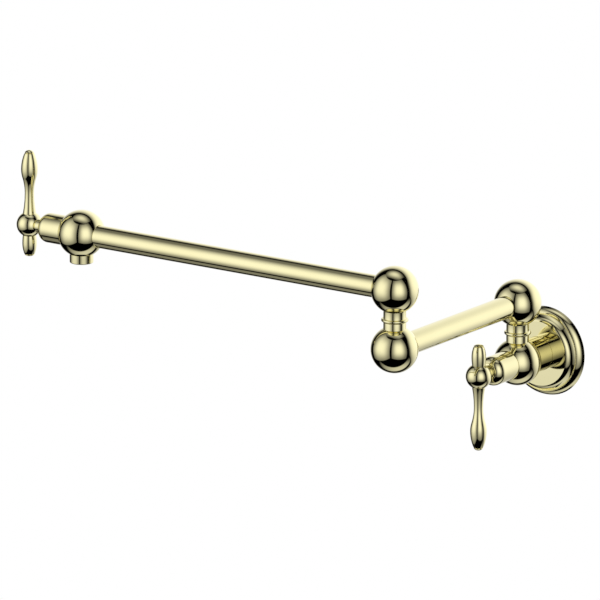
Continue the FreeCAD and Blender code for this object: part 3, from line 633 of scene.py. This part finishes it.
# ------------------------------------------------------------------ valve cartridges
# Quarter turn ceramic disc cartridges, closed in by the bonnets: brass housing and stem,
# a fixed and a moving disc, a rubber seat behind them and O-rings on the stem.
ceramic = moulded("disc_ceramic", (0.82, 0.80, 0.74), (0.86, 0.85, 0.80), 0.12, 2500.0)
for prefix in ("wall", "spout"):
    dress(inner_brass, f"{prefix}_cartridge", f"{prefix}_stem")
    dress(ceramic, f"{prefix}_fixed_disc", f"{prefix}_moving_disc")
    dress(rubber, f"{prefix}_seat_seal", f"{prefix}_stem_o_rings")
    dress(steel, f"{prefix}_set_screw")

# ------------------------------------------------------------------ bonnets
# A domed nut screws over each valve's spigot and bears on the flat of the ball.
# It is turned from bar, plated and polished like the rest.
BONNET_DOME = 7.9
NUT_FACE = 4.0
NUT_BORE, NUT_BORE_END = 10.55, 26.5
CARTRIDGE_ROOM, STEM_HOLE = 8.8, 4.3
bonnet_fronts = {"wall": 44.3, "spout": 40.0}
spout_centre_x = sum(corner.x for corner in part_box("aerator_housing")) / 2
spout = Vector((spout_centre_x, elbow.y, elbow.z))
spout_place = at(spout, TO_LEFT)


def bonnet(name, front, place):
    """The nut: a plain barrel, a domed front and the hole for the stem."""
    face_back = front - NUT_FACE
    corners = [
        (NUT_BORE, bonnet_seat), (BONNET_RADIUS, bonnet_seat),
        (BONNET_RADIUS, front - BONNET_DOME), (BONNET_RADIUS - BONNET_DOME, front, BONNET_DOME),
        (STEM_HOLE, front), (STEM_HOLE, face_back), (CARTRIDGE_ROOM, face_back),
        (CARTRIDGE_ROOM, NUT_BORE_END), (NUT_BORE, NUT_BORE_END),
    ]
    return turned(name, corners, place, closed=True)


for prefix, body, place in (("wall", "wall_base", valve_place),
                            ("spout", "outer_arm", spout_place)):
    nut = bonnet(f"{prefix}_bonnet_nut", bonnet_fronts[prefix], place)
    finish_piece(nut, gold, body, GOLD_SLOT, f"{prefix}_bonnet")

# ------------------------------------------------------------------ handles
# A small brass ball, held on the stem by a set screw, carries a long turned grip and,
# opposite, a short one. Both sit on flats of the ball and are plated like the rest.
# The wall valve's long grip hangs down and the spout valve's stands up.
HUB_RADIUS, HUB_NECK = 10.9, 5.6
PAST_HUB = 14.0
SCREW_HOLE, SCREW_FLOOR = 1.52, 6.0
BONNET_GAP = 0.3
GROOVE_DEPTH, GROOVE_AT, GROOVE_BEND = 0.8, 0.4, -0.7
BEAD_INSET, BEAD_AT, BEAD_BEND = 0.3, 0.8, 0.5
grip_seat = math.sqrt(HUB_RADIUS**2 - HUB_NECK**2)
HALF_TURN = Matrix.Rotation(math.radians(180), 4, "Z")
ALONG_LEVER = Matrix.Rotation(math.radians(90), 4, "Y")
ALONG_STUB = Matrix.Rotation(math.radians(-90), 4, "Y")


def arc_radius(run, rise):
    """The radius of an arc that starts along the axis and is rise away from it after run."""
    return (run * run + rise * rise) / (rise * 2)


def hub(name, neck_foot, place, screw):
    """The hub's ball with its neck, cut flat where the grips sit and drilled for its screw."""
    corners = [(0, neck_foot), (HUB_NECK, neck_foot), (HUB_NECK, -grip_seat),
               (0, HUB_RADIUS, HUB_RADIUS)]
    piece = turned(name, corners, place, edge=0.12, around=128)
    for turn in (ALONG_LEVER, ALONG_STUB):
        combine(piece, plug(HUB_RADIUS, grip_seat, PAST_HUB, place @ turn), "DIFFERENCE")
    toward = sum(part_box(screw), Vector()) / 2 - place.translation
    drill = at(place.translation, toward.to_track_quat("Z", "Y").to_matrix().to_4x4())
    combine(piece, plug(SCREW_HOLE, SCREW_FLOOR, PAST_HUB, drill), "DIFFERENCE")
    sharpen(piece, place.translation, HUB_RADIUS * MM)
    return piece


def grip(name, place, middle, tip):
    """A turned grip along Z: seat, curved middle, fine groove and domed end bead."""
    end, end_at = middle[-1][:2]
    bead, bead_at = end - BEAD_INSET, end_at + BEAD_AT
    corners = [(0, grip_seat), (HUB_NECK, grip_seat), *middle,
               (end - GROOVE_DEPTH, end_at + GROOVE_AT, GROOVE_BEND),
               (bead, bead_at, BEAD_BEND), (0, tip, arc_radius(bead, tip - bead_at))]
    return turned(name, corners, place, edge=0.1, around=96)


WAIST, WAIST_AT = 3.9, 27.0
BULGE, BULGE_AT = 7.0, 47.5
HOLLOW_SHARE = 0.65  # the part of the swell from waist to bulge that is hollow
END, END_AT = 4.1, 61.5
LEVER_TIP = 64.2
rise, run = BULGE - WAIST, BULGE_AT - WAIST_AT
hollow_rise, hollow_run = rise * HOLLOW_SHARE, run * HOLLOW_SHARE
lever_middle = [
    (WAIST, WAIST_AT, -arc_radius(WAIST_AT - grip_seat, HUB_NECK - WAIST)),
    (WAIST + hollow_rise, WAIST_AT + hollow_run, -arc_radius(hollow_run, hollow_rise)),
    (BULGE, BULGE_AT, arc_radius(run - hollow_run, rise - hollow_rise)),
    (END, END_AT, arc_radius(END_AT - BULGE_AT, BULGE - END)),
]
STUB_BULGE, STUB_BULGE_AT = 6.1, 16.6
STUB_END, STUB_END_AT = 4.4, 25.5
STUB_TIP = 27.6
stub_middle = [
    (STUB_BULGE, STUB_BULGE_AT, arc_radius(STUB_BULGE_AT - grip_seat, STUB_BULGE - HUB_NECK)),
    (STUB_END, STUB_END_AT, arc_radius(STUB_END_AT - STUB_BULGE_AT, STUB_BULGE - STUB_END)),
]
for prefix, ball_centre, turn in (("wall", valve, TO_ROOM @ HALF_TURN), ("spout", spout, TO_LEFT)):
    body = f"{prefix}_handle"
    centre = hinge_at[f"{body}_turn"]
    place = at(centre, turn)
    hub_distance = (centre - ball_centre).length / MM
    neck_foot = bonnet_fronts[prefix] + BONNET_GAP - hub_distance
    ball = hub(f"{prefix}_hub_ball", neck_foot, place, f"{prefix}_set_screw")
    finish_piece(ball, gold, body, GOLD_SLOT, f"{prefix}_handle_hub")
    lever = grip(f"{prefix}_lever_grip", place @ ALONG_LEVER, lever_middle, LEVER_TIP)
    finish_piece(lever, gold, body, GOLD_SLOT, f"{prefix}_lever")
    stub = grip(f"{prefix}_stub_grip", place @ ALONG_STUB, stub_middle, STUB_TIP)
    finish_piece(stub, gold, body, GOLD_SLOT, f"{prefix}_stub")

# ------------------------------------------------------------------ arms
# Two straight drawn tubes, brazed into polished brass balls. Each upper ball has a neck
# with a rounded collar that turns on the post of the ball below.
COLLAR_RADIUS, COLLAR_HEIGHT, COLLAR_ROUND = 11.3, 2.8, 1.3
UPPER_SOCKET = 6.55
TUBE_SOCKET, TUBE_SEAT = 9.55, 12.0
TO_WALL = HALF_TURN @ TO_ROOM
column = (elbow.z - elbow_lower.z) / MM
collar_foot = NECK_TOP + WASHER_GAP - column


def upper_ball(name, centre):
    """A ball with a collared neck below it."""
    collar_top = collar_foot + COLLAR_HEIGHT
    corners = [
        (0, -POST_SEAT), (UPPER_SOCKET, -POST_SEAT), (UPPER_SOCKET, collar_foot),
        (COLLAR_RADIUS - COLLAR_ROUND, collar_foot),
        (COLLAR_RADIUS, collar_foot + COLLAR_ROUND, COLLAR_ROUND),
        (COLLAR_RADIUS, collar_top - COLLAR_ROUND),
        (COLLAR_RADIUS - COLLAR_ROUND, collar_top, COLLAR_ROUND), (NECK_RADIUS, collar_top),
        (NECK_RADIUS, -ball_meets(NECK_RADIUS)), (0, BALL_RADIUS, BALL_RADIUS),
    ]
    return turned(name, corners, at(centre), edge=0.15)


arm_balls = (
    ("shoulder_ball", "inner_arm", upper_ball, shoulder, TO_ROOM),
    ("elbow_lower_ball", "inner_arm", lower_ball, elbow_lower, TO_WALL),
    ("elbow_upper_ball", "outer_arm", upper_ball, elbow, TO_LEFT),
)
for node, body, shape, centre, turn in arm_balls:
    piece = shape(f"{node}_shell", centre)
    socket = plug(TUBE_SOCKET, TUBE_SEAT, PAST_BALL, at(centre, turn), around=128)
    combine(piece, socket, "DIFFERENCE")
    sharpen(piece, centre, BALL_RADIUS * MM)
    finish_piece(piece, gold, body, GOLD_SLOT, node)


def drawn_tube_tree():
    """Geometry nodes: a wall section carried round a circle, as a straight drawn tube."""
    tree, given, identifiers = start_tree("drawn_tube", "Middle Radius", "Wall", "Length")
    circle = add_node(tree, "GeometryNodeCurvePrimitiveCircle", {
        "Resolution": 160, "Radius": given["Middle Radius"]})
    section = add_node(tree, "GeometryNodeCurvePrimitiveQuadrilateral", {
        "Width": given["Wall"], "Height": given["Length"]})
    sweep = add_node(tree, "GeometryNodeCurveToMesh", {
        "Curve": circle.outputs["Curve"], "Profile Curve": section.outputs["Curve"]})
    angle = tree.nodes.new("GeometryNodeInputMeshEdgeAngle").outputs["Unsigned Angle"]
    crisp = add_node(tree, "FunctionNodeCompare", {"A": angle, "B": math.radians(40)},
                     data_type="FLOAT", operation="GREATER_THAN")
    faces = add_node(tree, "GeometryNodeSetShadeSmooth", {"Geometry": sweep.outputs["Mesh"]})
    edges = add_node(tree, "GeometryNodeSetShadeSmooth", {
        "Geometry": faces.outputs["Geometry"], "Selection": crisp.outputs["Result"],
        "Shade Smooth": False}, domain="EDGE")
    finish_tree(tree, edges.outputs["Geometry"], given["Material"])
    return tree, identifiers


drawn_tube = drawn_tube_tree()
TUBE_RADIUS, TUBE_WALL = 9.5, 1.5
tubes = (
    ("inner_tube", "inner_arm", shoulder, elbow_lower, TO_ROOM),
    ("outer_tube", "outer_arm", elbow, spout, TO_LEFT),
)
for node, body, start, end, turn in tubes:
    reach = (end - start).length / MM - 2 * TUBE_SEAT
    tube = grown(
        f"{node}_drawn", drawn_tube, at((start + end) / 2, turn),
        Middle_Radius=(TUBE_RADIUS - TUBE_WALL / 2) * MM, Wall=TUBE_WALL * MM,
        Length=reach * MM, Material=gold,
    )
    finish_piece(tube, gold, body, GOLD_SLOT, node)

# ------------------------------------------------------------------ spout
# The end ball is cut flat underneath for the short spout ring, which screws in against a
# rubber washer and holds the plastic aerator core above a fine steel screen.
SPOUT_RING, SPOUT_END = 10.0, 24.8
RING_ROUND = 0.8
RING_THREAD, RING_TOP = 8.5, -13.5
CORE_BORE = 7.2
LIP_BORE, LIP = 6.4, 1.0
DOWN = Matrix.Rotation(math.radians(180), 4, "X")
spout_flat = ball_meets(SPOUT_RING)
lip_top = LIP - SPOUT_END
spout_ball_outline = [
    (0, -TUBE_SEAT), (TUBE_SOCKET, -TUBE_SEAT), (TUBE_SOCKET, -ball_meets(TUBE_SOCKET)),
    (BALL_RADIUS, 0, BALL_RADIUS), (BONNET_RADIUS, bonnet_seat, BALL_RADIUS), (0, bonnet_seat),
]
spout_ball = turned("spout_ball_shell", spout_ball_outline, spout_place, edge=0.15)
cut_flat(spout_ball, at(spout, DOWN), spout_flat)
sharpen(spout_ball, spout, BALL_RADIUS * MM)
finish_piece(spout_ball, gold, "outer_arm", GOLD_SLOT, "spout_ball")

spout_ring_outline = [
    (LIP_BORE, -SPOUT_END), (SPOUT_RING - RING_ROUND, -SPOUT_END),
    (SPOUT_RING, RING_ROUND - SPOUT_END, RING_ROUND), (SPOUT_RING, -spout_flat),
    (RING_THREAD, -spout_flat), (RING_THREAD, RING_TOP), (CORE_BORE, RING_TOP),
    (CORE_BORE, lip_top), (LIP_BORE, lip_top),
]
aerator_ring = turned("spout_ring", spout_ring_outline, at(spout), closed=True, edge=0.12,
                      around=128)
finish_piece(aerator_ring, gold, "outer_arm", GOLD_SLOT, "aerator_housing")
dress(rubber, "aerator_washer")
plastic = moulded("aerator_plastic", (0.60, 0.62, 0.64), (0.68, 0.69, 0.70), 0.3, 700.0)
dress(plastic, "aerator_core")
screen = grown(
    "aerator_mesh", punched_disc, moved_along(at(spout), lip_top + 0.02),
    Radius=7.1 * MM, Thickness=0.36 * MM, Hole_Radius=0.42 * MM, Spacing=1.2 * MM, Material=steel,
)
finish_piece(screen, steel, "outer_arm", "stainless_steel", "aerator_screen")

# ------------------------------------------------------------------ studio
# White room: a pale floor, and soft panels with dark gaps between them for the polished
# metal to mirror. The camera sees plain white behind the object.
FLOOR_LEVEL = -0.2
FLOOR_HALF = 1.5
WHITE = (1.0, 1.0, 1.0, 1.0)


def mixed(tree, share, first, second):
    """Goes from the first shader to the second by a share."""
    inputs = {"Fac": share, 1: first, 2: second}
    return add_node(tree, "ShaderNodeMixShader", inputs).outputs["Shader"]


def pale_floor():
    """A pale sheet under the object, seen as plain white from above and not from below."""
    mesh = bpy.data.meshes.new("floor")
    sides = ((-1, -1), (1, -1), (1, 1), (-1, 1))
    corners = [(x * FLOOR_HALF, y * FLOOR_HALF, FLOOR_LEVEL) for x, y in sides]
    mesh.from_pydata(corners, [], [(0, 1, 2, 3)])
    floor = bpy.data.objects.new("floor", mesh)
    bpy.context.scene.collection.objects.link(floor)
    material, tree, shader, _ = new_material("pale_floor")
    shader.inputs["Base Color"].default_value = (0.85, 0.85, 0.84, 1.0)
    shader.inputs["Roughness"].default_value = 0.9
    white = tree.nodes.new("ShaderNodeEmission").outputs["Emission"]
    camera_ray = tree.nodes.new("ShaderNodeLightPath").outputs["Is Camera Ray"]
    seen = mixed(tree, camera_ray, shader.outputs["BSDF"], white)
    clear = tree.nodes.new("ShaderNodeBsdfTransparent").outputs["BSDF"]
    from_below = tree.nodes.new("ShaderNodeNewGeometry").outputs["Backfacing"]
    surface = tree.nodes["Material Output"].inputs["Surface"]
    tree.links.new(mixed(tree, from_below, seen, clear), surface)
    mesh.materials.append(material)
    floor.visible_glossy = False


pale_floor()


def studio_world():
    """Soft panels by direction: azimuth from the room's front towards +X, and elevation."""
    world = bpy.data.worlds.new("studio")
    bpy.context.scene.world = world
    world.use_nodes = True
    tree = world.node_tree
    tree.nodes.clear()

    def calc(operation, *values):
        return math_node(tree, operation, *values)

    def product(*factors):
        """All the factors multiplied."""
        value = factors[0]
        for factor in factors[1:]:
            value = calc("MULTIPLY", value, factor)
        return value

    def ratio(first, second):
        """Where a direction meets a plane at distance 1, or far away behind it."""
        return calc("DIVIDE", first, calc("MAXIMUM", second, 0.001))

    def step(value, edge, soft):
        """0 below the edge and 1 above it."""
        return ramp(tree, value, edge - soft / 2, edge + soft / 2)

    def band(value, low, high, soft):
        """1 between low and high, with soft edges."""
        return product(step(value, low, soft), calc("SUBTRACT", 1.0, step(value, high, soft)))

    def spot(value, middle, spread, order=2.0):
        """A bell round the middle; a high order makes its top flat."""
        away = calc("ABSOLUTE", calc("SUBTRACT", value, middle))
        power = calc("POWER", calc("DIVIDE", away, spread), order)
        return calc("EXPONENT", calc("MULTIPLY", power, -1.0))

    direction = tree.nodes.new("ShaderNodeTexCoord").outputs["Generated"]
    x, y, z = add_node(tree, "ShaderNodeSeparateXYZ", {0: direction}).outputs
    azimuth = calc("DEGREES", calc("ARCTAN2", x, calc("MULTIPLY", y, -1.0)))
    elevation = calc("DEGREES", calc("ARCSINE", z))

    def panel(left, right, bottom, top, heart, spread, dim, bright=1.1, soft=4.0):
        """A flat soft box: a bright heart that falls off to dim edges, curved as a plane is."""
        facing = calc("COSINE", calc("RADIANS", calc("SUBTRACT", azimuth, (left + right) / 2)))
        slope = calc("DIVIDE", calc("TANGENT", calc("RADIANS", elevation)), facing)
        flat = calc("DEGREES", calc("ARCTANGENT", slope))
        area = product(band(azimuth, left, right, soft), step(flat, bottom, soft),
                       band(elevation, -80.0, top, soft))
        light = product(spot(azimuth, heart[0], spread[0], order=3.0),
                        spot(elevation, heart[1], spread[1], order=2.7))
        return product(calc("MULTIPLY_ADD", light, bright, dim), area)

    front_left = panel(left=-89.0, right=10.5, bottom=-41.0, top=58.0,
                       heart=(-38.0, 12.0), spread=(39.0, 40.0), dim=0.12)
    front_right = panel(left=20.5, right=95.0, bottom=-36.5, top=58.0,
                        heart=(56.0, 13.0), spread=(27.0, 35.0), dim=0.13)

    # A window overhead, drawn on a plane at height 1. The last factor is its strength.
    over_x, over_y = ratio(x, z), ratio(y, z)
    overhead = product(
        spot(over_x, middle=-0.05, spread=0.5), spot(over_y, middle=0.06, spread=0.3),
        band(over_x, low=-0.76, high=0.57, soft=0.08),
        band(over_y, low=-0.38, high=0.5, soft=0.08), 0.95)

    # The wide light on the wall's side, which the backs and the shank mirror.
    side, height = ratio(x, y), ratio(z, y)
    wall_side = product(
        spot(side, middle=0.2, spread=1.75, order=2.5),
        spot(height, middle=0.17, spread=0.98, order=2.5),
        band(height, low=-0.98, high=1.43, soft=0.16), step(y, edge=0.02, soft=0.02), 1.3)

    # A strip of bright floor at depth 1, between slanted edges.
    depth = calc("MULTIPLY", z, -1.0)
    floor_x, floor_y = ratio(x, depth), ratio(y, depth)
    near = calc("MULTIPLY_ADD", floor_x, -0.45, floor_y)
    far = calc("MULTIPLY_ADD", floor_x, 0.35, calc("MULTIPLY", floor_y, -1.0))
    end = calc("MULTIPLY_ADD", floor_y, -0.5, floor_x)
    slanted_strip = product(
        step(near, edge=-0.13, soft=0.1), step(far, edge=-0.53, soft=0.16),
        step(end, edge=-0.76, soft=0.4), step(depth, edge=0.3, soft=0.05),
        spot(floor_x, middle=0.1, spread=0.85), spot(floor_y, middle=0.3, spread=1.0), 0.76)

    total = front_left
    for zone in (front_right, overhead, wall_side, slanted_strip):
        total = calc("MAXIMUM", total, zone)
    mirrored = add_node(tree, "ShaderNodeBackground", {"Color": WHITE, "Strength": total})
    plain = add_node(tree, "ShaderNodeBackground", {"Color": WHITE})
    path = tree.nodes.new("ShaderNodeLightPath").outputs
    lit = mixed(tree, path["Is Glossy Ray"], plain.outputs[0], mirrored.outputs[0])
    seen = mixed(tree, path["Is Camera Ray"], lit, plain.outputs[0])
    add_node(tree, "ShaderNodeOutputWorld", {"Surface": seen})


studio_world()

# The camera looks from the right front and a little above, as in the photograph, with a
# very long lens. The picture is square and shows half a metre across.
AZIMUTH, ELEVATION, ROLL = math.radians(34.8), math.radians(14.95), 0.0018
PICTURE_WIDTH = 0.5
LENS, SENSOR = 1000.0, 36.0
TO_MIDDLE = (-0.207, 0.0417, 0.08)  # right, up and back from the origin
right = Vector((math.cos(AZIMUTH), math.sin(AZIMUTH), 0.0))
back = Vector((math.sin(AZIMUTH) * math.cos(ELEVATION),
               -math.cos(AZIMUTH) * math.cos(ELEVATION), math.sin(ELEVATION)))
up = back.cross(right)
target = right * TO_MIDDLE[0] + up * TO_MIDDLE[1] + back * TO_MIDDLE[2]
right, up = right + up * ROLL, up - right * ROLL
camera_data = bpy.data.cameras.new("camera")
camera_data.lens = LENS
camera_data.sensor_width = SENSOR
camera_data.clip_start = 0.1
camera_data.clip_end = 100.0
camera = bpy.data.objects.new("camera", camera_data)
camera.location = target + back * (PICTURE_WIDTH * LENS / SENSOR)
camera.rotation_mode = "QUATERNION"
camera.rotation_quaternion = Matrix((right, up, back)).transposed().to_quaternion()
bpy.context.scene.collection.objects.link(camera)
bpy.context.scene.camera = camera
bpy.context.scene.view_settings.view_transform = "Standard"
